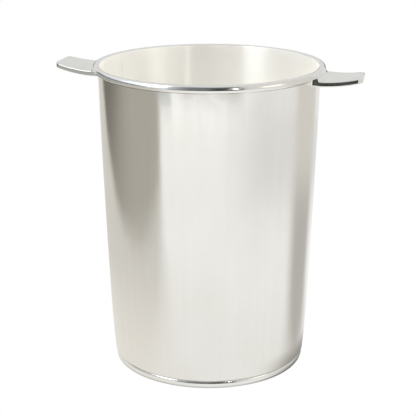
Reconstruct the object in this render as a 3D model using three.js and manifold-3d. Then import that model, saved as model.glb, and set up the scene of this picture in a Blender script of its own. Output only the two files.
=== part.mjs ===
// Silver-plated champagne bucket: a tall tapered cup of sheet metal with a bead round the rim,
// a moulded ring round the foot and two flat tab handles.
//
// Millimetres, +Z up. The origin is the centre of the circle that the foot stands on. The handles
// lie along the X axis, and the bucket is symmetrical about the XZ and YZ planes.

import * as THREE from "three";
import { mergeVertices } from "three/addons/utils/BufferGeometryUtils.js";
import Module from "manifold-3d";

// Overall
const HEIGHT = 230;
const TURN_SEGMENTS = 72;
const SOLDER_GAP = 0.3;

// Wall: a sheet sleeve. Its side bows out a little, and draws in towards the foot.
const SHEET = 1.2;
const WALL_FOOT_RADIUS = 74;
const WALL_TOP_RADIUS = 82.5;
const WALL_BOW = 2.65;
const WALL_DRAW_IN = 1.2;
const WALL_DRAW_IN_HEIGHT = 60;
const WALL_TOP = 226;
const WALL_EDGE_WIDTH = 1.1;
const WALL_EDGE_HEIGHT = 1.5;
const WALL_EDGE_STEPS = 3;
const WALL_STEPS = 8;
const WALL_STEP_GROWTH = 1.5;

// Foot ring: a moulding that the bucket stands on
const FOOT_HEIGHT = 5.6;
const FOOT_WIDEST_RADIUS = 72.85;
const FOOT_WIDEST_HEIGHT = 4.6;
const FOOT_STAND_OUTER_RADIUS = 71.05;
const FOOT_STAND_INNER_RADIUS = 68.6;
const FOOT_TOP_INNER_RADIUS = 70.2;
const FOOT_SHOULDER = 1.2;
const FOOT_SIDE_STEPS = 4;
const FOOT_SHOULDER_STEPS = 3;

// Rim bead: a rounded moulding that caps the wall and stands out round it
const RIM_BOTTOM = WALL_TOP + SOLDER_GAP;
const RIM_OUTER_RADIUS = 86.3;
const RIM_INNER_RADIUS = 81.3;
const RIM_LOWER_ROUND = 1.3;
const RIM_LOWER_STEPS = 3;
const RIM_UPPER_STEPS = 10;

// Rim collar: a flat band round the wall under the bead
const COLLAR_BOTTOM = 224.4;
const COLLAR_OUTER_RADIUS = 83.5;

// Base plate: a sheet disc let into the wall, domed up a little so that it can't rock
const BASE_HEIGHT = 7.6;
const BASE_RADIUS = 72;
const BASE_DOME = 2.4;
const BASE_STEPS = 5;

// Tab handles: thicker and wider at the root, turned up at the tip. Distances along a tab are
// measured out from the Z axis. The flare is where the root widens to meet the wall.
const TAB_INNER_END = 78;
const TAB_ROOT = 86;
const TAB_TIP = 115.6;
const TAB_ROOT_TOP = 223.5;
const TAB_ROOT_SLOPE = -0.02;
const TAB_UPTURN = 0.0047;
const TAB_ROOT_THICKNESS = 4.0;
const TAB_TIP_THICKNESS = 3.8;
const TAB_ROOT_HALF_WIDTH = 19;
const TAB_TIP_HALF_WIDTH = 15.6;
const TAB_FLARE = 3.5;
const TAB_FLARE_END = 84;
const TAB_FLARE_LENGTH = 4.5;
const TAB_CORNER_RADIUS = 6;
const TAB_EDGE_ROUND = 1.1;
const TAB_LENGTH_STEPS = 14;
const TAB_WIDTH_STEPS = 8;

const wasm = await Module();
wasm.setup();

// Outer radius of the wall at height z.
function wallRadius(z) {
  const t = z / HEIGHT;
  const drawIn = WALL_DRAW_IN * Math.max(0, 1 - z / WALL_DRAW_IN_HEIGHT) ** 3;
  return WALL_FOOT_RADIUS + (WALL_TOP_RADIUS - WALL_FOOT_RADIUS) * t + WALL_BOW * t * (1 - t) - drawIn;
}

// Points on an ellipse from one angle to another, in degrees, with both ends included.
function ellipseArc(centreR, centreZ, radiusR, radiusZ, fromDegrees, toDegrees, steps) {
  const points = [];
  for (let i = 0; i <= steps; i += 1) {
    const angle = THREE.MathUtils.degToRad(THREE.MathUtils.lerp(fromDegrees, toDegrees, i / steps));
    const r = centreR + radiusR * Math.cos(angle);
    const z = centreZ + radiusZ * Math.sin(angle);
    points.push(new THREE.Vector2(r, z));
  }
  return points;
}

// Turns a section about the Z axis. The section lists radius and height, going anticlockwise. It
// either starts and ends on the axis, or is a ring's section, which is closed here.
function turned(section) {
  const isRing = section[0].x > 0;
  const outline = isRing ? [...section, section[0].clone()] : section;
  const geometry = new THREE.LatheGeometry(outline, TURN_SEGMENTS);
  geometry.rotateX(Math.PI / 2);
  return geometry;
}

// A solid that manifold-3d can join and cut.
function toSolid(geometry) {
  const bare = geometry.clone();
  bare.deleteAttribute("normal");
  bare.deleteAttribute("uv");
  const merged = mergeVertices(bare);
  const vertProperties = new Float32Array(merged.attributes.position.array);
  const triVerts = new Uint32Array(merged.index.array);
  return new wasm.Manifold(new wasm.Mesh({ numProp: 3, vertProperties, triVerts }));
}

function fromSolid(solid) {
  const mesh = solid.getMesh();
  const geometry = new THREE.BufferGeometry();
  geometry.setAttribute("position", new THREE.BufferAttribute(mesh.vertProperties, mesh.numProp));
  geometry.setIndex(new THREE.BufferAttribute(mesh.triVerts, 1));
  geometry.computeVertexNormals();
  return geometry;
}

// The sleeve from the foot ring up to the rim bead, with its lower edge rounded in.
function bodyWall() {
  const bottom = FOOT_HEIGHT + SOLDER_GAP;
  const edgeTop = bottom + WALL_EDGE_HEIGHT;
  const edgeCentre = wallRadius(edgeTop) - WALL_EDGE_WIDTH;
  const lowerEdge = ellipseArc(edgeCentre, edgeTop, WALL_EDGE_WIDTH, WALL_EDGE_HEIGHT, -90, 0, WALL_EDGE_STEPS);
  const outside = [...lowerEdge];
  for (let i = 1; i <= WALL_STEPS; i += 1) {
    // Steps are shorter low down, where the side curves most.
    const z = edgeTop + (WALL_TOP - edgeTop) * (i / WALL_STEPS) ** WALL_STEP_GROWTH;
    outside.push(new THREE.Vector2(wallRadius(z), z));
  }
  const inside = outside.map((point) => new THREE.Vector2(point.x - SHEET, point.y)).reverse();
  return turned([...outside, ...inside]);
}

// The ring under the wall: flat where it stands, swelling to its widest near the top.
function footRing() {
  const side = ellipseArc(
    FOOT_STAND_OUTER_RADIUS,
    FOOT_WIDEST_HEIGHT,
    FOOT_WIDEST_RADIUS - FOOT_STAND_OUTER_RADIUS,
    FOOT_WIDEST_HEIGHT,
    -90,
    0,
    FOOT_SIDE_STEPS
  );
  const shoulder = ellipseArc(
    FOOT_WIDEST_RADIUS - FOOT_SHOULDER,
    FOOT_WIDEST_HEIGHT,
    FOOT_SHOULDER,
    FOOT_HEIGHT - FOOT_WIDEST_HEIGHT,
    0,
    90,
    FOOT_SHOULDER_STEPS
  );
  return turned([
    new THREE.Vector2(FOOT_STAND_INNER_RADIUS, 0),
    ...side,
    ...shoulder.slice(1),
    new THREE.Vector2(FOOT_TOP_INNER_RADIUS, FOOT_HEIGHT),
  ]);
}

// The bead on the wall's top edge: flat underneath, rounded outside and over the top.
function rimBead() {
  const shoulderZ = RIM_BOTTOM + RIM_LOWER_ROUND;
  const lowerRound = ellipseArc(
    RIM_OUTER_RADIUS - RIM_LOWER_ROUND,
    shoulderZ,
    RIM_LOWER_ROUND,
    RIM_LOWER_ROUND,
    -90,
    0,
    RIM_LOWER_STEPS
  );
  const crown = ellipseArc(
    (RIM_OUTER_RADIUS + RIM_INNER_RADIUS) / 2,
    shoulderZ,
    (RIM_OUTER_RADIUS - RIM_INNER_RADIUS) / 2,
    HEIGHT - shoulderZ,
    0,
    180,
    RIM_UPPER_STEPS
  );
  return turned([new THREE.Vector2(RIM_INNER_RADIUS, RIM_BOTTOM), ...lowerRound, ...crown.slice(1)]);
}

function rimCollar() {
  const inner = wallRadius(WALL_TOP) + SOLDER_GAP;
  return turned([
    new THREE.Vector2(inner, COLLAR_BOTTOM),
    new THREE.Vector2(COLLAR_OUTER_RADIUS, COLLAR_BOTTOM),
    new THREE.Vector2(COLLAR_OUTER_RADIUS, WALL_TOP),
    new THREE.Vector2(inner, WALL_TOP),
  ]);
}

function basePlate() {
  const underside = [];
  for (let i = 0; i <= BASE_STEPS; i += 1) {
    const t = i / BASE_STEPS;
    underside.push(new THREE.Vector2(BASE_RADIUS * t, BASE_HEIGHT + BASE_DOME * (1 - t * t)));
  }
  const top = underside.map((point) => new THREE.Vector2(point.x, point.y + SHEET)).reverse();
  return turned([...underside, ...top]);
}

// Height of a tab's top face at distance u from the axis.
function tabTop(u) {
  const out = u - TAB_ROOT;
  return TAB_ROOT_TOP + TAB_ROOT_SLOPE * out + TAB_UPTURN * out * out;
}

function tabThickness(u) {
  return THREE.MathUtils.mapLinear(u, TAB_ROOT, TAB_TIP, TAB_ROOT_THICKNESS, TAB_TIP_THICKNESS);
}

// Half the width of a tab at distance u, with the root's flare and the tip's round corners.
function tabHalfWidth(u) {
  const straight = THREE.MathUtils.mapLinear(u, TAB_ROOT, TAB_TIP, TAB_ROOT_HALF_WIDTH, TAB_TIP_HALF_WIDTH);
  const flare = TAB_FLARE * (Math.max(0, TAB_FLARE_END - u) / TAB_FLARE_LENGTH) ** 2;
  const intoCorner = Math.max(0, u - (TAB_TIP - TAB_CORNER_RADIUS));
  const corner = TAB_CORNER_RADIUS - Math.sqrt(TAB_CORNER_RADIUS ** 2 - intoCorner ** 2);
  return straight + flare - corner;
}

// How far a face falls away at a given distance inside a rounded edge.
function edgeDrop(distance) {
  const short = Math.max(0, TAB_EDGE_ROUND - distance);
  return TAB_EDGE_ROUND - Math.sqrt(TAB_EDGE_ROUND ** 2 - short ** 2);
}

// The solid inside the wall's outer surface at the height of the tabs, grown by the solder gap.
function wallFilledIn() {
  const bottom = TAB_ROOT_TOP - 2 * TAB_ROOT_THICKNESS;
  return turned([
    new THREE.Vector2(0, bottom),
    new THREE.Vector2(wallRadius(bottom) + SOLDER_GAP, bottom),
    new THREE.Vector2(wallRadius(HEIGHT) + SOLDER_GAP, HEIGHT),
    new THREE.Vector2(0, HEIGHT),
  ]);
}

// A box bent and rounded point by point into a tab, then cut to the curve of the wall.
function tabHandle() {
  const geometry = new THREE.BoxGeometry(2, 2, 2, TAB_LENGTH_STEPS, TAB_WIDTH_STEPS, 1);
  const position = geometry.attributes.position;
  for (let i = 0; i < position.count; i += 1) {
    // Sines draw the grid's lines closer together towards the tip and the two long edges.
    const along = Math.sin(((position.getX(i) + 1) * Math.PI) / 4);
    const across = Math.sin((position.getY(i) * Math.PI) / 2);
    const u = THREE.MathUtils.lerp(TAB_INNER_END, TAB_TIP, along);
    const halfWidth = tabHalfWidth(u);
    const toEdge = Math.min(halfWidth * (1 - Math.abs(across)), TAB_TIP - u);
    const halfThickness = tabThickness(u) / 2 - edgeDrop(toEdge);
    const middle = tabTop(u) - tabThickness(u) / 2;
    position.setXYZ(i, u, halfWidth * across, middle + halfThickness * Math.sign(position.getZ(i)));
  }
  return fromSolid(toSolid(geometry).subtract(toSolid(wallFilledIn())));
}

function piece(name, geometry, color, roughness) {
  const material = new THREE.MeshStandardMaterial({ color, roughness, metalness: 1 });
  const mesh = new THREE.Mesh(geometry, material);
  mesh.name = name;
  return mesh;
}

const SATIN_SILVER = 0xdedbd2;
const BRIGHT_SILVER = 0xe2e1dc;
const PLAIN_SILVER = 0xd2cfc5;

const bucket = new THREE.Group();
bucket.name = "champagne_bucket";
bucket.add(piece("body_wall", bodyWall(), SATIN_SILVER, 0.22));
bucket.add(piece("base_plate", basePlate(), PLAIN_SILVER, 0.35));
bucket.add(piece("foot_ring", footRing(), BRIGHT_SILVER, 0.1));
bucket.add(piece("rim_collar", rimCollar(), BRIGHT_SILVER, 0.12));
bucket.add(piece("rim_bead", rimBead(), BRIGHT_SILVER, 0.08));

const rightHandle = piece("handle_right", tabHandle(), BRIGHT_SILVER, 0.12);
bucket.add(rightHandle);

const leftHandle = piece("handle_left", tabHandle(), BRIGHT_SILVER, 0.12);
leftHandle.rotation.z = Math.PI;
bucket.add(leftHandle);

export default bucket;
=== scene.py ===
"""The look of the silver champagne bucket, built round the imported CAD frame. Metres, +Z up."""

import math

import bpy
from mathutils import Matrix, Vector


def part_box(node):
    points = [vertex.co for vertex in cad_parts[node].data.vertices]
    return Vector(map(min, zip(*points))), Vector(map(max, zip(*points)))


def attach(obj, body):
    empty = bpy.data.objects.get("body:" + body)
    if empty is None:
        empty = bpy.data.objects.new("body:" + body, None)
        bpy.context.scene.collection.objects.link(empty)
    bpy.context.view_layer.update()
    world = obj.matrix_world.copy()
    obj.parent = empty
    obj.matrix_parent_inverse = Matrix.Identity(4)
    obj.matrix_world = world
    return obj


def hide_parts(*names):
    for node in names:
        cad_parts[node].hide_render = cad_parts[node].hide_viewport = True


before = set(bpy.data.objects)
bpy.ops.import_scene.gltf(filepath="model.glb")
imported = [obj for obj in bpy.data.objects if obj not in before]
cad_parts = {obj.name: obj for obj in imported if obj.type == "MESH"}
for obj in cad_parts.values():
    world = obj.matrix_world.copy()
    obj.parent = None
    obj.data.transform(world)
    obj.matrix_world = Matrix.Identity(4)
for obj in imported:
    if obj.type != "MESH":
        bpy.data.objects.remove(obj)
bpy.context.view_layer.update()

MM = 0.001

# ---------------------------------------------------------------- sizes, from the CAD frame

rim_low, rim_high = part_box("rim_bead")
collar_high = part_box("rim_collar")[1]
wall_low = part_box("body_wall")[0]
foot_low, foot_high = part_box("foot_ring")
base_low, base_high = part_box("base_plate")
tab_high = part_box("handle_right")[1]

HEIGHT = rim_high.z
RIM_RADIUS = rim_high.y
COLLAR_RADIUS = collar_high.y
FOOT_RADIUS = foot_high.y
BASE_RADIUS = base_high.y
TAB_TIP = tab_high.x

# ---------------------------------------------------------------- sizes of sheet, mouldings and tabs

# Angles are in degrees, and steps are how many pieces a curve is drawn with.

SHEET = 1.2 * MM
WALL_FOOT_RADIUS = 74 * MM
WALL_RISE = 8.5 * MM
WALL_BOW = 2.65 * MM
WALL_DRAW_IN = 1.2 * MM
WALL_DRAW_IN_HEIGHT = 60 * MM
WALL_EDGE_WIDTH = 1.1 * MM
WALL_EDGE_HEIGHT = 1.5 * MM
WALL_EDGE_STEPS = 10
WALL_STEPS = 72
WALL_STEP_GROWTH = 1.2

RIM_INNER_RADIUS = 81.3 * MM
RIM_BOTTOM = 225.8 * MM
RIM_LOWER_ROUND = 0.8 * MM
RIM_FACE_RADIUS = 5.05 * MM
RIM_CROWN_RADIUS = 2.1 * MM
RIM_FACE_FROM = 3
RIM_FACE_TO = 31
RIM_FLANK_DROP = 0.8 * MM
RIM_INSIDE_DEPTH = 0.01 * MM
RIM_LOWER_STEPS = 10
RIM_FACE_STEPS = 10
RIM_CROWN_STEPS = 16
RIM_FLANK_STEPS = 14

COLLAR_BOTTOM = 224.2 * MM
COLLAR_LOW_RADIUS = 83.0 * MM
COLLAR_ROUND = 0.3 * MM
COLLAR_INTO_WALL = 0.2 * MM
COLLAR_TO_RIM = 0.1 * MM
COLLAR_STEPS = 5

FOOT_WIDEST_HEIGHT = 3.3 * MM
FOOT_STAND_OUTER = 71.05 * MM
FOOT_STAND_INNER = 68.6 * MM
FOOT_TOP_INNER = 70.2 * MM
FOOT_SHOULDER_RADIUS = 3.6 * MM
FOOT_SHOULDER_TURN = 36
FOOT_EDGE_RADIUS = 0.4 * MM
FOOT_SIDE_STEPS = 14
FOOT_SHOULDER_STEPS = 10
FOOT_EDGE_STEPS = 6

BASE_DOME = 2.4 * MM
BASE_LET_OUT = 0.4 * MM
BASE_STEPS = 24

TAB_ROOT = 86 * MM
TAB_ROOT_TOP = 223.5 * MM
TAB_ROOT_SLOPE = -0.02
TAB_UPTURN = 4.7
TAB_ROOT_THICKNESS = 4.0 * MM
TAB_TIP_THICKNESS = 3.8 * MM
TAB_ROOT_HALF_WIDTH = 19.1 * MM
TAB_TIP_HALF_WIDTH = 15.6 * MM
TAB_FLARE = 4.4 * MM
TAB_FLARE_END = 84 * MM
TAB_FLARE_LENGTH = 4.5 * MM
TAB_CORNER_RADIUS = 4.5 * MM
TAB_TOP_ROUND = (1.9 * MM, 0.8 * MM)
TAB_LOW_ROUND = (0.8 * MM, 0.7 * MM)
TAB_SIDE_LEAN = 0.08 * MM
TAB_EDGE_LEVELS = (0.08, 0.3, 0.7, 0.92)
TAB_LENGTH_STEPS = 64
TAB_WIDTH_STEPS = 48

# The two tabs were soldered on by hand: each has its own fillet against the rim (height, reach
# where it ends, length), tip skew, and rise of its -Y and +Y edges at the root and at the tip.
RIGHT_FILLET = (2.6 * MM, 87.5 * MM, 1.3 * MM)
RIGHT_SKEW = 0.07
RIGHT_ROOT_RISE = (0, 1.0 * MM)
RIGHT_TIP_RISE = (-0.2 * MM, -0.7 * MM)
LEFT_FILLET = (5.0 * MM, 88.8 * MM, 2.7 * MM)
LEFT_SKEW = 0.0
LEFT_ROOT_RISE = (0, 0.9 * MM)
LEFT_TIP_RISE = (1.2 * MM, 1.1 * MM)

TURN_SEGMENTS = 288
SHARP_ANGLE = 40


def wall_radius(z):
    """Outer radius of the wall at height z."""
    t = z / HEIGHT
    draw_in = WALL_DRAW_IN * max(0.0, 1 - z / WALL_DRAW_IN_HEIGHT) ** 3
    return WALL_FOOT_RADIUS + WALL_RISE * t + WALL_BOW * t * (1 - t) - draw_in


def smooth(low, high, value):
    """0 below low, 1 above high, and an even curve between. The two may be the other way round."""
    t = min(max((value - low) / (high - low), 0.0), 1.0)
    return t * t * (3 - 2 * t)


def within(rise_from, rise_to, fall_from, fall_to, value):
    """1 between a rising and a falling edge, and 0 outside them. Each edge is soft."""
    return smooth(rise_from, rise_to, value) * smooth(fall_from, fall_to, value)


def blend(a, b, t):
    """a where t is 0, b where it is 1."""
    return a + (b - a) * t


# ---------------------------------------------------------------- mesh makers


def mesh_object(name, vertices, faces):
    mesh = bpy.data.meshes.new(name)
    mesh.from_pydata([tuple(v) for v in vertices], [], faces)
    mesh.validate()
    mesh.update()
    piece = bpy.data.objects.new(name, mesh)
    bpy.context.scene.collection.objects.link(piece)
    for polygon in mesh.polygons:
        polygon.use_smooth = True
    mesh.set_sharp_from_angle(angle=math.radians(SHARP_ANGLE))
    return piece


def ellipse_arc(centre_r, centre_z, radius_r, radius_z, from_degrees, to_degrees, steps):
    """Points (radius, height) on an ellipse, both ends included."""
    points = []
    for i in range(steps + 1):
        angle = math.radians(from_degrees + (to_degrees - from_degrees) * i / steps)
        points.append((centre_r + radius_r * math.cos(angle), centre_z + radius_z * math.sin(angle)))
    return points


def tangent_arc(start, radius, from_degrees, to_degrees, steps):
    """An arc that leaves start facing outward at from_degrees above the level."""
    angle = math.radians(from_degrees)
    centre_r = start[0] - radius * math.cos(angle)
    centre_z = start[1] - radius * math.sin(angle)
    return ellipse_arc(centre_r, centre_z, radius, radius, from_degrees, to_degrees, steps)


def turned(name, section):
    """A solid of revolution. The section is (radius, height), anticlockwise; it starts and ends
    on the axis, or is a closed ring's section."""
    on_axis = section[0][0] == 0
    vertices, faces, rings = [], [], []
    for radius, z in section:
        if radius == 0:
            rings.append([len(vertices)])
            vertices.append((0, 0, z))
            continue
        ring = []
        for k in range(TURN_SEGMENTS):
            angle = 2 * math.pi * k / TURN_SEGMENTS
            ring.append(len(vertices))
            vertices.append((radius * math.cos(angle), radius * math.sin(angle), z))
        rings.append(ring)
    pairs = list(zip(rings, rings[1:]))
    if not on_axis:
        pairs.append((rings[-1], rings[0]))
    for lower, upper in pairs:
        for k in range(TURN_SEGMENTS):
            n = (k + 1) % TURN_SEGMENTS
            if len(lower) == 1:
                faces.append((lower[0], upper[n], upper[k]))
            elif len(upper) == 1:
                faces.append((lower[k], lower[n], upper[0]))
            else:
                faces.append((lower[k], lower[n], upper[n], upper[k]))
    return mesh_object(name, vertices, faces)


# ---------------------------------------------------------------- materials

WARM_SILVER = (0.90, 0.893, 0.866)
CREAM_SILVER = (0.87, 0.858, 0.818)
WHITE_SILVER = (0.92, 0.915, 0.89)
INSIDE_SILVER = (0.957, 0.944, 0.908)
INSIDE_CREAM = (0.94, 0.925, 0.88)
TAB_SILVER = (0.95, 0.945, 0.908)
TAB_GREY = (0.86, 0.85, 0.8)
# Colour of the painted shade along the joints between parts.
JOINT_SHADE = (0.42, 0.39, 0.34)

# Ranges of noise values that are stretched to a full range. The narrow one gives more contrast.
NOISE_NARROW = (0.35, 0.65)
NOISE_WIDE = (0.3, 0.7)

# Streaks as (turns, rise) for around, or (lengthwise, crosswise) for along.
BROAD_STREAKS = (19, 6)
FINE_STREAKS = (240, 22)
MOULDING_HAIRS = (8, 2600)
TAB_HAIRS = (40, 700)

# Relief as (strength, depth).
FINE_RELIEF = (0.12, 0.02 * MM)
BROAD_RELIEF = (0.25, 0.12 * MM)
BLOTCH_RELIEF = (0.4, 0.6 * MM)
HAIR_RELIEF = (0.1, 0.01 * MM)

# Where shade is painted along the joints between parts, as (height, reach).
WALL_SHADED_JOINTS = ((COLLAR_BOTTOM - 0.2 * MM, 0.7 * MM), (foot_high.z + 0.6 * MM, 1.0 * MM))
INSIDE_SHADED_JOINTS = ((base_high.z - BASE_DOME, 1.5 * MM),)

# The anisotropic rotation that draws reflections out into upright bands.
UPRIGHT_GRAIN = 0.25


class Graph:
    """A small wrapper that adds nodes to a material and links them."""

    def __init__(self, name):
        self.material = bpy.data.materials.new(name)
        self.material.use_nodes = True
        self.tree = self.material.node_tree
        self.shader = self.tree.nodes["Principled BSDF"]

    def add(self, kind, **settings):
        node = self.tree.nodes.new(kind)
        for key, value in settings.items():
            setattr(node, key, value)
        return node

    def link(self, source, target):
        self.tree.links.new(source, target)

    def math(self, operation, a, b=None):
        node = self.add("ShaderNodeMath", operation=operation)
        for socket, value in zip(node.inputs, (a, b)):
            if value is None:
                continue
            if isinstance(value, (int, float)):
                socket.default_value = value
            else:
                self.link(value, socket)
        return node.outputs[0]

    def noise(self, vector, scale, detail=2.0, roughness=0.5):
        node = self.add("ShaderNodeTexNoise")
        node.inputs["Scale"].default_value = scale
        node.inputs["Detail"].default_value = detail
        node.inputs["Roughness"].default_value = roughness
        self.link(vector, node.inputs["Vector"])
        return node.outputs["Fac"]

    def spread(self, value, low, high, to_low, to_high):
        node = self.add("ShaderNodeMapRange")
        names = ("From Min", "From Max", "To Min", "To Max")
        for name, number in zip(names, (low, high, to_low, to_high)):
            node.inputs[name].default_value = number
        self.link(value, node.inputs["Value"])
        return node.outputs["Result"]

    def weighted(self, a, b, share):
        """A share of a, and the rest of b."""
        return self.math("ADD", self.math("MULTIPLY", a, share), self.math("MULTIPLY", b, 1 - share))

    def mix(self, factor, a, b):
        node = self.add("ShaderNodeMix", data_type="RGBA")
        self.link(factor, node.inputs[0])
        for socket, colour in ((node.inputs[6], a), (node.inputs[7], b)):
            if isinstance(colour, tuple):
                socket.default_value = (*colour, 1)
            else:
                self.link(colour, socket)
        return node.outputs[2]

    def bump(self, height, strength, distance, normal=None):
        node = self.add("ShaderNodeBump")
        node.inputs["Strength"].default_value = strength
        node.inputs["Distance"].default_value = distance
        self.link(height, node.inputs["Height"])
        if normal is not None:
            self.link(normal, node.inputs["Normal"])
        return node.outputs["Normal"]


def around(graph, turns, rise):
    """A vector that runs round the axis and up it: turns scales the direction from the axis, and
    rise the height. Noise read with it has no seam. It makes streaks up the side where rise is
    small, and round it where rise is large."""
    coordinates = graph.add("ShaderNodeTexCoord").outputs["Object"]
    flat = graph.add("ShaderNodeVectorMath", operation="MULTIPLY")
    flat.inputs[1].default_value = (1, 1, 0)
    graph.link(coordinates, flat.inputs[0])
    unit = graph.add("ShaderNodeVectorMath", operation="NORMALIZE")
    graph.link(flat.outputs[0], unit.inputs[0])
    scaled = graph.add("ShaderNodeVectorMath", operation="SCALE")
    scaled.inputs["Scale"].default_value = turns
    graph.link(unit.outputs[0], scaled.inputs[0])
    upward = graph.add("ShaderNodeVectorMath", operation="MULTIPLY")
    upward.inputs[1].default_value = (0, 0, rise)
    graph.link(coordinates, upward.inputs[0])
    total = graph.add("ShaderNodeVectorMath", operation="ADD")
    graph.link(scaled.outputs[0], total.inputs[0])
    graph.link(upward.outputs[0], total.inputs[1])
    return total.outputs[0]


def joint_shade(graph, height, reach):
    """The mask of painted shade along a joint: 1 at a height up the wall and 0 beyond reach from it,
    broken up by noise.
    """
    coordinates = graph.add("ShaderNodeTexCoord").outputs["Object"]
    split = graph.add("ShaderNodeSeparateXYZ")
    graph.link(coordinates, split.inputs[0])
    distance = graph.math("ABSOLUTE", graph.math("SUBTRACT", split.outputs["Z"], height))
    near = graph.spread(distance, 0, reach, 1, 0)
    patchy = graph.spread(graph.noise(coordinates, scale=60.0, detail=2.0), 0.3, 0.6, 0.35, 1)
    return graph.math("MULTIPLY", near, patchy)


def silver_satin(name, tint, shade, roughness, spread, anisotropy, metallic, bump, shaded_joints):
    """Hand-rubbed silver plate: fine polishing lines up the side, broad streaks, faint blotches,
    and painted shade along the joints between parts, each given as (height, reach). bump scales all the
    relief."""
    graph = Graph(name)
    coordinates = graph.add("ShaderNodeTexCoord").outputs["Object"]
    broad_streaks = graph.noise(around(graph, *BROAD_STREAKS), scale=1.0, detail=4.0)
    fine_streaks = graph.noise(around(graph, *FINE_STREAKS), scale=1.0, detail=2.0, roughness=0.6)
    blotches = graph.noise(coordinates, scale=22.0, detail=3.0)
    mottle = graph.weighted(broad_streaks, blotches, 0.3)
    colour = graph.mix(graph.spread(mottle, *NOISE_NARROW, 0, 1), tint, shade)
    # Painted shade: each joint between parts is darkened here.
    for height, reach in shaded_joints:
        colour = graph.mix(joint_shade(graph, height, reach), colour, JOINT_SHADE)
    graph.link(colour, graph.shader.inputs["Base Color"])
    broad_roughness = graph.spread(mottle, *NOISE_WIDE, roughness - spread, roughness + spread)
    fine_roughness = graph.spread(fine_streaks, *NOISE_WIDE, -spread / 2, spread / 2)
    graph.link(graph.math("ADD", broad_roughness, fine_roughness), graph.shader.inputs["Roughness"])
    reliefs = ((fine_streaks, FINE_RELIEF), (broad_streaks, BROAD_RELIEF), (blotches, BLOTCH_RELIEF))
    normal = None
    for height, (strength, depth) in reliefs:
        normal = graph.bump(height, strength * bump, depth, normal)
    graph.link(normal, graph.shader.inputs["Normal"])
    graph.shader.inputs["Metallic"].default_value = metallic
    graph.shader.inputs["Anisotropic"].default_value = anisotropy
    graph.shader.inputs["Anisotropic Rotation"].default_value = UPRIGHT_GRAIN
    return graph.material


def along(graph, lengthwise, crosswise):
    """A vector for streaks that run along X, as a tab is brushed."""
    coordinates = graph.add("ShaderNodeTexCoord").outputs["Object"]
    scaled = graph.add("ShaderNodeVectorMath", operation="MULTIPLY")
    scaled.inputs[1].default_value = (lengthwise, crosswise, crosswise)
    graph.link(coordinates, scaled.inputs[0])
    return scaled.outputs[0]


def silver_bright(name, tint, shade, roughness, direction, hair_scales):
    """Burnished silver plate, with a faint unevenness and with hair scratches in one direction,
    which is around or along."""
    graph = Graph(name)
    coordinates = graph.add("ShaderNodeTexCoord").outputs["Object"]
    cloud = graph.noise(coordinates, scale=40.0, detail=3.0)
    hairs = graph.noise(direction(graph, *hair_scales), scale=1.0, detail=2.0)
    mottle = graph.weighted(cloud, hairs, 0.6)
    colour = graph.mix(graph.spread(mottle, *NOISE_NARROW, 0, 1), tint, shade)
    graph.link(colour, graph.shader.inputs["Base Color"])
    rough = graph.spread(mottle, *NOISE_WIDE, roughness * 0.7, roughness * 1.3)
    graph.link(rough, graph.shader.inputs["Roughness"])
    graph.link(graph.bump(hairs, *HAIR_RELIEF), graph.shader.inputs["Normal"])
    graph.shader.inputs["Metallic"].default_value = 1.0
    return graph.material


satin = silver_satin("silver_satin_wall", WARM_SILVER, CREAM_SILVER, roughness=0.14, spread=0.02,
                     anisotropy=0.0, metallic=1.0, bump=1.0, shaded_joints=WALL_SHADED_JOINTS)
inside_satin = silver_satin("silver_satin_inside", INSIDE_SILVER, INSIDE_CREAM, roughness=0.3, spread=0.02,
                            anisotropy=1.0, metallic=0.55, bump=0.1, shaded_joints=INSIDE_SHADED_JOINTS)
bright = silver_bright("silver_bright_mouldings", WHITE_SILVER, WARM_SILVER, 0.15, around, MOULDING_HAIRS)
tab_silver = silver_bright("silver_bright_tabs", TAB_SILVER, TAB_GREY, 0.11, along, TAB_HAIRS)


# ---------------------------------------------------------------- pieces


def finish_piece(piece, node, slot, *materials):
    """Gives a piece its materials, ties it to the root body, and hides the CAD node that it stands for.
    The slot is not used.
    """
    for material in materials:
        piece.data.materials.append(material)
    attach(piece, "root")
    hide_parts(node)
    return piece


def make_wall():
    """The tapered sheet, with a rounded lower edge. Its inner faces take the inside's finish."""
    bottom = wall_low.z
    edge_top = bottom + WALL_EDGE_HEIGHT
    centre = wall_radius(edge_top) - WALL_EDGE_WIDTH
    outside = ellipse_arc(centre, edge_top, WALL_EDGE_WIDTH, WALL_EDGE_HEIGHT, -90, 0, WALL_EDGE_STEPS)
    for i in range(1, WALL_STEPS + 1):
        z = edge_top + (rim_low.z - edge_top) * (i / WALL_STEPS) ** WALL_STEP_GROWTH
        outside.append((wall_radius(z), z))
    inside = [(radius - SHEET, z) for radius, z in reversed(outside)]
    wall = turned("bucket_wall", outside + inside)
    finish_piece(wall, "body_wall", "silver_satin", satin, inside_satin)
    for polygon in wall.data.polygons:
        middle = polygon.center
        reach = math.hypot(middle.x, middle.y)
        if reach < wall_radius(middle.z) - SHEET / 2:
            polygon.material_index = 1
    return wall


def make_base():
    """A domed disc, let out past the CAD's so that it meets the wall."""
    underside, top = [], []
    reach = BASE_RADIUS + BASE_LET_OUT
    for i in range(BASE_STEPS + 1):
        t = i / BASE_STEPS
        z = base_low.z + BASE_DOME * (1 - t * t)
        underside.append((reach * t, z))
        top.append((reach * t, z + SHEET))
    base = turned("bucket_base", underside + top[::-1])
    return finish_piece(base, "base_plate", "silver_satin", satin)


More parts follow.
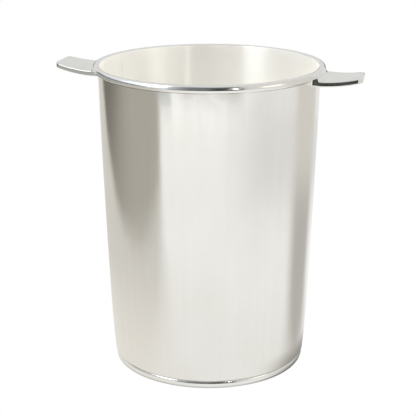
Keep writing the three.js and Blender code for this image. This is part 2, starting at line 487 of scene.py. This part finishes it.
def make_foot():
    """A moulding that swells up from the face it stands on to a full, rounded shoulder."""
    side = ellipse_arc(FOOT_STAND_OUTER, FOOT_WIDEST_HEIGHT, FOOT_RADIUS - FOOT_STAND_OUTER,
                       FOOT_WIDEST_HEIGHT, -90, 0, FOOT_SIDE_STEPS)
    shoulder = tangent_arc(side[-1], FOOT_SHOULDER_RADIUS, 0, FOOT_SHOULDER_TURN, FOOT_SHOULDER_STEPS)
    edge = tangent_arc(shoulder[-1], FOOT_EDGE_RADIUS, FOOT_SHOULDER_TURN, 90, FOOT_EDGE_STEPS)
    top = edge[-1][1]
    section = [(FOOT_STAND_INNER, foot_low.z)] + side + shoulder[1:] + edge[1:]
    section.append((FOOT_TOP_INNER, top))
    return finish_piece(turned("bucket_foot", section), "foot_ring", "silver_bright", bright)


def make_rim():
    """A D-shaped moulding: a small lower round, a gently curved outer face, a fuller crown, and an
    inner flank that runs down flush with the inside of the wall."""
    lower = ellipse_arc(RIM_RADIUS - RIM_LOWER_ROUND, RIM_BOTTOM + RIM_LOWER_ROUND,
                        RIM_LOWER_ROUND, RIM_LOWER_ROUND, -90, RIM_FACE_FROM, RIM_LOWER_STEPS)
    face = tangent_arc(lower[-1], RIM_FACE_RADIUS, RIM_FACE_FROM, RIM_FACE_TO, RIM_FACE_STEPS)
    crown = tangent_arc(face[-1], RIM_CROWN_RADIUS, RIM_FACE_TO, 90, RIM_CROWN_STEPS)
    crown_radius, crown_z = crown[-1]
    flank = ellipse_arc(crown_radius, crown_z - RIM_FLANK_DROP, crown_radius - RIM_INNER_RADIUS,
                        RIM_FLANK_DROP, 90, 180, RIM_FLANK_STEPS)
    section = [(RIM_INNER_RADIUS, RIM_BOTTOM)] + lower + face[1:] + crown[1:] + flank[1:]
    rim = finish_piece(turned("bucket_rim", section), "rim_bead", "silver_bright", bright, inside_satin)
    for polygon in rim.data.polygons:
        middle = polygon.center
        if math.hypot(middle.x, middle.y) < RIM_INNER_RADIUS + RIM_INSIDE_DEPTH:
            polygon.material_index = 1
    return rim


def make_collar():
    """The strip under the rim, thick at its top and drawn down to the wall."""
    inner = wall_radius(collar_high.z) - COLLAR_INTO_WALL
    top = RIM_BOTTOM - COLLAR_TO_RIM
    lower = ellipse_arc(COLLAR_LOW_RADIUS - COLLAR_ROUND, COLLAR_BOTTOM + COLLAR_ROUND,
                        COLLAR_ROUND, COLLAR_ROUND, -90, 0, COLLAR_STEPS)
    section = [(inner, COLLAR_BOTTOM)] + lower + [(COLLAR_RADIUS, top), (inner, top)]
    return finish_piece(turned("bucket_collar", section), "rim_collar", "silver_bright", bright)


def tab_top(u):
    """Height of a tab's top face at a reach u from the axis."""
    out = u - TAB_ROOT
    return TAB_ROOT_TOP + TAB_ROOT_SLOPE * out + TAB_UPTURN * out * out


def between(u, at_root, at_tip):
    """A value that changes evenly from a tab's root to its tip, at a reach u from the axis."""
    return at_root + (at_tip - at_root) * (u - TAB_ROOT) / (TAB_TIP - TAB_ROOT)


def tab_half_width(u):
    """Half a tab's width: tapered, flared into the wall at the root, and rounded at the tip."""
    straight = between(u, TAB_ROOT_HALF_WIDTH, TAB_TIP_HALF_WIDTH)
    flare = TAB_FLARE * (max(0.0, TAB_FLARE_END - u) / TAB_FLARE_LENGTH) ** 2
    into_corner = min(max(0.0, u - (TAB_TIP - TAB_CORNER_RADIUS)), TAB_CORNER_RADIUS)
    corner = TAB_CORNER_RADIUS - math.sqrt(TAB_CORNER_RADIUS**2 - into_corner**2)
    return straight + flare - corner


def edge_drop(distance, across, depth):
    """How far a rounded edge has fallen, at a distance in from it."""
    short = min(max(0.0, across - distance), across) / across
    return depth * (1 - math.sqrt(1 - short**2))


def fillet_rise(reach, rise, end, length):
    """The fillet that carries the tab's top up into the side of the rim, at a reach from the axis."""
    short = min(1.0, max(0.0, end - reach) / length)
    return rise * (1 - math.sqrt(1 - short**2))


def make_tab(name, node, side, fillet, skew, root_rise, tip_rise):
    """A tab handle, as a grid of points over its top, its bottom and the edge between them. The
    skew shortens it towards its +Y corner, and the rises bend its -Y and +Y edges."""
    root_radius = wall_radius(TAB_ROOT_TOP) - SHEET / 2
    vertices, faces, index = [], [], {}

    def point(i, j, level):
        key = (i, j, level)
        if key not in index:
            s = math.sin(i / TAB_LENGTH_STEPS * math.pi / 2)
            a = math.sin((2 * j / TAB_WIDTH_STEPS - 1) * math.pi / 2)
            u = root_radius + (TAB_TIP - root_radius) * s
            inset = TAB_SIDE_LEAN if level > 0 else 0
            half_width = tab_half_width(u) - inset
            y = half_width * a
            root = math.sqrt(root_radius**2 - y**2)
            tip = TAB_TIP - inset
            tip -= skew * (y * side + TAB_TIP_HALF_WIDTH) ** 2 / (2 * TAB_TIP_HALF_WIDTH)
            u = tip - (TAB_TIP - u) * (tip - root) / (TAB_TIP - root_radius)
            to_edge = min(half_width * (1 - abs(a)), tip - u)
            across = (y * side / half_width + 1) / 2
            lift = between(u, blend(*root_rise, across), blend(*tip_rise, across))
            if level > 0:
                z = tab_top(u) + lift - edge_drop(to_edge, *TAB_TOP_ROUND)
                z += fillet_rise(math.hypot(u, y), *fillet)
            else:
                thickness = between(u, TAB_ROOT_THICKNESS, TAB_TIP_THICKNESS)
                z = tab_top(u) + lift - thickness + edge_drop(to_edge, *TAB_LOW_ROUND)
            index[key] = len(vertices)
            vertices.append((side * u, side * y, z))
        return index[key]

    def edge_strip(border):
        """The upright edge under one border of the grid, in rows from the bottom face to the top."""
        for here, there in zip(border, border[1:]):
            rows = [(point(*here, -1), point(*there, -1))]
            top_row = (point(*here, 1), point(*there, 1))
            for level in TAB_EDGE_LEVELS:
                rows.append((edge_point(*here, level), edge_point(*there, level)))
            rows.append(top_row)
            for lower, upper in zip(rows, rows[1:]):
                faces.append((lower[0], lower[1], upper[1], upper[0]))

    def edge_point(i, j, level):
        """A vertex on the edge, level of the way from the bottom face to the top one."""
        key = (i, j, level)
        if key not in index:
            low, high = vertices[point(i, j, -1)], vertices[point(i, j, 1)]
            index[key] = len(vertices)
            vertices.append(tuple(blend(a, b, level) for a, b in zip(low, high)))
        return index[key]

    for i in range(TAB_LENGTH_STEPS):
        for j in range(TAB_WIDTH_STEPS):
            corners = ((i, j), (i + 1, j), (i + 1, j + 1), (i, j + 1))
            faces.append([point(*c, 1) for c in corners])
            faces.append([point(*c, -1) for c in reversed(corners)])
    edge_strip([(i, 0) for i in range(TAB_LENGTH_STEPS + 1)])
    edge_strip([(TAB_LENGTH_STEPS, j) for j in range(TAB_WIDTH_STEPS + 1)])
    edge_strip([(i, TAB_WIDTH_STEPS) for i in range(TAB_LENGTH_STEPS, -1, -1)])
    edge_strip([(0, j) for j in range(TAB_WIDTH_STEPS, -1, -1)])
    tab = mesh_object(name, vertices, faces)
    return finish_piece(tab, node, "silver_handle", tab_silver)


make_wall()
make_base()
make_foot()
make_rim()
make_collar()
make_tab("tab_right", "handle_right", 1, RIGHT_FILLET, RIGHT_SKEW, RIGHT_ROOT_RISE, RIGHT_TIP_RISE)
make_tab("tab_left", "handle_left", -1, LEFT_FILLET, LEFT_SKEW, LEFT_ROOT_RISE, LEFT_TIP_RISE)

# ---------------------------------------------------------------- camera

VIEW_AZIMUTH = math.radians(14.0)
VIEW_ELEVATION = math.radians(17.3)
VIEW_DISTANCE = 4.0341 * HEIGHT
AIM_HEIGHT = 0.5107 * HEIGHT
AIM_LEFT = 0.86 * MM
SENSOR_WIDTH = 36
LENS_LENGTH = 104.629327

to_camera = Vector((math.sin(VIEW_AZIMUTH), -math.cos(VIEW_AZIMUTH), 0))
to_right = Vector((math.cos(VIEW_AZIMUTH), math.sin(VIEW_AZIMUTH), 0))
back = to_camera * math.cos(VIEW_ELEVATION) + Vector((0, 0, math.sin(VIEW_ELEVATION)))

camera_data = bpy.data.cameras.new("camera")
camera_data.sensor_width = SENSOR_WIDTH
camera_data.lens = LENS_LENGTH
camera = bpy.data.objects.new("camera", camera_data)
bpy.context.scene.collection.objects.link(camera)
camera.location = Vector((0, 0, AIM_HEIGHT)) - to_right * AIM_LEFT + back * VIEW_DISTANCE
camera.rotation_mode = "QUATERNION"
camera.rotation_quaternion = back.to_track_quat("Z", "Y")
bpy.context.scene.camera = camera

# ---------------------------------------------------------------- studio

bpy.context.scene.view_settings.view_transform = "Standard"
bpy.context.scene.cycles.max_bounces = 16
bpy.context.scene.cycles.glossy_bounces = 12


def light_material(name, from_above_only):
    """Light that a studio surface gives off, read from its mesh's own light attribute. With
    from_above_only it is clear from underneath."""
    material = bpy.data.materials.new(name)
    material.use_nodes = True
    nodes = material.node_tree.nodes
    nodes.clear()
    colour = nodes.new("ShaderNodeAttribute")
    colour.attribute_name = "light"
    emission = nodes.new("ShaderNodeEmission")
    output = nodes.new("ShaderNodeOutputMaterial")
    links = material.node_tree.links
    links.new(colour.outputs["Color"], emission.inputs["Color"])
    if not from_above_only:
        links.new(emission.outputs[0], output.inputs["Surface"])
        return material
    side = nodes.new("ShaderNodeNewGeometry")
    clear = nodes.new("ShaderNodeBsdfTransparent")
    choice = nodes.new("ShaderNodeMixShader")
    links.new(side.outputs["Backfacing"], choice.inputs["Fac"])
    links.new(emission.outputs[0], choice.inputs[1])
    links.new(clear.outputs[0], choice.inputs[2])
    links.new(choice.outputs[0], output.inputs["Surface"])
    return material


def studio_sheet(name, place, light, columns, rows, seen=False):
    """A sheet of light: place(a, b) gives a point and light(a, b) its colour, for a and b in 0 to 1.
    The camera sees it only if seen is true."""
    vertices, levels, faces = [], [], []
    for i in range(columns + 1):
        for j in range(rows + 1):
            vertices.append(tuple(place(i / columns, j / rows)))
            levels.extend((*light(i / columns, j / rows), 1.0))
    for i in range(columns):
        for j in range(rows):
            corner = i * (rows + 1) + j
            faces.append((corner, corner + 1, corner + rows + 2, corner + rows + 1))
    mesh = bpy.data.meshes.new(name)
    mesh.from_pydata(vertices, [], faces)
    attribute = mesh.attributes.new("light", "FLOAT_COLOR", "POINT")
    attribute.data.foreach_set("color", levels)
    piece = bpy.data.objects.new(name, mesh)
    bpy.context.scene.collection.objects.link(piece)
    piece.data.materials.append(light_material(name, seen))
    piece.visible_camera = seen
    piece.visible_shadow = False
    return piece


def heading(degrees):
    """The level direction so many degrees round from the camera, towards the camera's right."""
    angle = math.radians(degrees)
    return to_camera * math.cos(angle) + to_right * math.sin(angle)


def tinted(colour, level):
    """A colour at a light level."""
    return tuple(channel * level for channel in colour)


def panel(name, azimuths, radius, heights, light):
    """An upright panel, curved round the bucket. light(azimuth, height) gives its colour."""

    def place(a, b):
        return heading(blend(*azimuths, a)) * radius + Vector((0, 0, blend(*heights, b)))

    def light_at(a, b):
        return light(blend(*azimuths, a), blend(*heights, b))

    return studio_sheet(name, place, light_at, columns=72, rows=24)


def floor_place(radius, z):
    """Places a round sheet at height z. Its rows are closer together near the middle."""
    return lambda a, b: heading(360 * a) * radius * b * b + Vector((0, 0, z))


def even(colour, level):
    """The same light all over a sheet."""
    return lambda a, b: tinted(colour, level)


WHITE_LIGHT = (1.0, 1.0, 1.0)
FLOOR_LIGHT = (1.0, 0.997, 0.978)
CARD_LIGHT = (1.0, 0.955, 0.85)
GREY_LIGHT = (1.0, 0.97, 0.915)
COOL_LIGHT = (0.92, 0.965, 1.0)

FLOOR_RADIUS = 4.0
FLOOR_Z = foot_low.z - 0.2 * MM

seen_floor = studio_sheet("floor", floor_place(FLOOR_RADIUS, FLOOR_Z), even(WHITE_LIGHT, 1.0),
                          columns=96, rows=4, seen=True)
seen_floor.visible_glossy = False


def side_of(right, front, edge_right, edge_front, edge_heading):
    """How far a floor point lies to the right of a line with that heading, seen from above, in metres."""
    angle = math.radians(edge_heading)
    return (front - edge_front) * math.sin(angle) - (right - edge_right) * math.cos(angle)


def mixed(colour_a, colour_b, t):
    """colour_a where t is 0, colour_b where it is 1."""
    return tuple(blend(x, y, t) for x, y in zip(colour_a, colour_b))


def signed_azimuth(a):
    """Degrees round from the camera, less than 0 on the camera's left, for a in 0 to 1."""
    return 360 * a if a < 0.5 else 360 * a - 360


# Straight edges on the floor: a point to the right of the axis and in front of it, and a heading.
SHADOW_FRONT_EDGE = (0.066, 0.036, 101)
SHADOW_BACK_EDGE = (0.079, 0.006, 144)
LEFT_SHADE_EDGE = (-0.036, 0.074, -52.5)
CARD_EDGE = (-0.372, -0.121, 26)

# Levels as (near, further out), or as (in front, behind) for the card.
OPEN_LEVELS = (0.885, 0.945)
OPEN_GAIN_FAR = 0.08
OPEN_GAIN_FURTHEST = 0.24
RIGHT_SHARE = 0.78
RIGHT_FAR_SHARE = 0.86
UNDER_CAMERA_LEVEL = 0.06
UNDER_SOFTBOX_LEVEL = 0.42
SHADOW_LEVELS = (0.5, 0.68)
CONTACT_LEVEL = 0.34
LEFT_SHADE_LEVELS = (0.82, 0.68)
CARD_LEVELS = (0.43, 0.19)


def open_floor_light(azimuth, reach):
    """The bare floor: brighter further out, duller to the right, dark far out under the camera, and
    dim and cool far out on the front left."""
    level = blend(*OPEN_LEVELS, smooth(0.08, 0.42, reach)) + OPEN_GAIN_FAR * smooth(0.5, 0.8, reach)
    level += OPEN_GAIN_FURTHEST * smooth(0.7, 0.9, reach)
    level *= blend(1.0, RIGHT_SHARE, smooth(0, 60, azimuth) * smooth(0.25, 0.65, reach))
    level *= blend(1.0, RIGHT_FAR_SHARE, smooth(15, 50, azimuth) * smooth(0.65, 0.85, reach))
    in_front = within(-40, -20, 36, 28, azimuth)
    level = blend(level, UNDER_CAMERA_LEVEL, in_front * smooth(0.93, 1.0, reach))
    front_left = within(-75, -65, -34, -40, azimuth)
    colour = tinted(FLOOR_LIGHT, level)
    under_softbox = front_left * smooth(0.82, 0.95, reach)
    return mixed(colour, tinted(COOL_LIGHT, UNDER_SOFTBOX_LEVEL), under_softbox)


def with_shadow(colour, azimuth, reach, right, front):
    """The bucket's soft shadow behind on the right, and darker floor close to the foot on that side."""
    softness = blend(0.026, 0.11, smooth(0.1, 0.7, reach))
    shadow = smooth(softness, -softness, side_of(right, front, *SHADOW_FRONT_EDGE))
    shadow *= smooth(-softness, softness, side_of(right, front, *SHADOW_BACK_EDGE))
    shadow_level = blend(*SHADOW_LEVELS, smooth(0.35, 0.65, reach))
    colour = mixed(colour, tinted(GREY_LIGHT, shadow_level), shadow)
    contact = smooth(0.1, 0.078, reach) * within(30, 70, 178, 160, azimuth)
    return mixed(colour, tinted(GREY_LIGHT, CONTACT_LEVEL), contact)


def with_card(colour, azimuth, reach, right, front):
    """Painted shade on the floor beside the bucket on the left, and a grey card lying on it."""
    softness = blend(0.05, 0.022, smooth(0.2, 0.6, reach))
    inward = side_of(right, front, *LEFT_SHADE_EDGE)
    # Painted shade beside the bucket on the left, darker further out.
    left_shade = smooth(-softness, softness, inward)
    left_shade *= within(-180, -150, 0, -10, azimuth)
    left_shade_level = blend(*LEFT_SHADE_LEVELS, smooth(0.09, 0.3, reach))
    colour = mixed(colour, tinted(GREY_LIGHT, left_shade_level), left_shade)
    on_card = left_shade * smooth(-0.02, 0.07, side_of(right, front, *CARD_EDGE))
    border = blend(0.2, 0.02, smooth(0.3, 0.65, reach))
    on_card *= smooth(0.2, 0.46, reach) * smooth(-0.02, border, inward)
    card_level = blend(*CARD_LEVELS, smooth(0.15, -0.6, front))
    return mixed(colour, tinted(CARD_LIGHT, card_level), on_card)


def bounce_light(a, b):
    """The floor as the silver sees it."""
    azimuth = signed_azimuth(a)
    reach = FLOOR_RADIUS * b * b
    right = reach * math.sin(math.radians(azimuth))
    front = reach * math.cos(math.radians(azimuth))
    colour = open_floor_light(azimuth, reach)
    colour = with_shadow(colour, azimuth, reach, right, front)
    return with_card(colour, azimuth, reach, right, front)


BOUNCE_LIFT = 0.1 * MM
CONTACT_LIFT = 0.15 * MM

studio_sheet("floor_bounce", floor_place(FLOOR_RADIUS, FLOOR_Z + BOUNCE_LIFT), bounce_light, 240, 140)

CONTACT_FROM = FOOT_STAND_OUTER + 0.1 * MM
CONTACT_TO = 79 * MM
CONTACT_DARKEST = 0.08
CONTACT_DEPTHS = (0.4, 1.0)


def contact_place(a, b):
    """Places the narrow ring of floor just outside the foot."""
    return heading(360 * a) * blend(CONTACT_FROM, CONTACT_TO, b) + Vector((0, 0, FLOOR_Z + CONTACT_LIFT))


def contact_light(a, b):
    """The narrow dark ring where the foot meets the floor, deepest on the right and behind it."""
    around_floor = bounce_light(a, math.sqrt(blend(CONTACT_FROM, CONTACT_TO, b) / FLOOR_RADIUS))
    depth = blend(*CONTACT_DEPTHS, within(15, 55, 178, 160, signed_azimuth(a)))
    return mixed(around_floor, tinted(GREY_LIGHT, CONTACT_DARKEST), depth * smooth(0.6, 0.1, b))


studio_sheet("contact_shadow", contact_place, contact_light, 240, 10)

ABOVE_LEVEL = 0.74

world = bpy.data.worlds.new("studio")
world.use_nodes = True
world.node_tree.nodes["Background"].inputs["Color"].default_value = (1, 1, 1, 1)
world.node_tree.nodes["Background"].inputs["Strength"].default_value = ABOVE_LEVEL
bpy.context.scene.world = world


# Levels of the upright panels. Pairs are (low, high) or (at one end, further on), as each is used.
FLAG_DARK = (0.05, 0.25)
FLAG_PALE = (0.5, 0.2)
FLAG_FOOT = 0.04
SOFTBOX_BRIGHT = 3.5
SOFTBOX_SIDE = 1.3
SOFTBOX_BACK = 0.9
SOFTBOX_BORDER = 0.35
SOFTBOX_LOW = (0.85, 0.24)
WALL_LEVEL = 0.7
WALL_PATCH_LEVEL = 1.3
STRIP_LEVEL = 7.5
SKIRTING_LEVEL = 0.1


def flag_light(azimuth, z):
    """Dark before the bucket, and paler towards the softbox."""
    dark = blend(*FLAG_DARK, smooth(0.8, 1.3, z))
    level = blend(*FLAG_PALE, smooth(-38, -18, azimuth))
    level = blend(level, dark, smooth(-6, 10, azimuth))
    return tinted(COOL_LIGHT, blend(FLAG_FOOT, level, smooth(0.1, 0.22, z)))


def softbox_left_light(azimuth, z):
    """Bright above, less so further round, with a dim border at the camera's end. Low down it is
    softer at the camera's end and grey further round."""
    high = blend(SOFTBOX_BRIGHT, SOFTBOX_SIDE, smooth(-66, -76, azimuth))
    high = blend(high, SOFTBOX_BACK, smooth(-88, -100, azimuth))
    high = blend(SOFTBOX_BORDER, high, smooth(-42, -44, azimuth))
    low = blend(*SOFTBOX_LOW, smooth(-58, -64, azimuth))
    return tinted(COOL_LIGHT, blend(low, high, smooth(0.5, 0.65, z)))


def wall_right_light(azimuth, z):
    """An even pale wall with one brighter patch, low and not far round from the camera."""
    patch = within(47, 54, 78, 70, azimuth) * within(0.3, 0.4, 0.85, 0.7, z)
    return tinted(GREY_LIGHT, blend(WALL_LEVEL, WALL_PATCH_LEVEL, patch))


panel("flag_camera_side", (-38, 32), 1.15, (0.0, 1.5), flag_light)
panel("strip", (23.7, 25.5), 1.14, (0.38, 0.8), even(WHITE_LIGHT, STRIP_LEVEL))
panel("softbox_left", (-140, -37), 1.2, (0.26, 1.5), softbox_left_light)
panel("wall_right", (33, 120), 1.3, (0.05, 1.5), wall_right_light)
panel("skirting_back", (158, 202), 1.5, (0.0, 0.34), even(GREY_LIGHT, SKIRTING_LEVEL))
studio_sheet("softbox_above", floor_place(0.9, 1.7), even(WHITE_LIGHT, ABOVE_LEVEL), 48, 2)

FILL_SIZE = 0.5
FILL_ENERGY = 64
FILL_HEIGHT = 1.5

fill = bpy.data.lights.new("fill_above", "AREA")
fill.shape = "DISK"
fill.size = FILL_SIZE
fill.energy = FILL_ENERGY
fill_light = bpy.data.objects.new("fill_above", fill)
bpy.context.scene.collection.objects.link(fill_light)
fill_light.location = (0, 0, FILL_HEIGHT)
fill_light.visible_glossy = False
fill_light.visible_camera = False
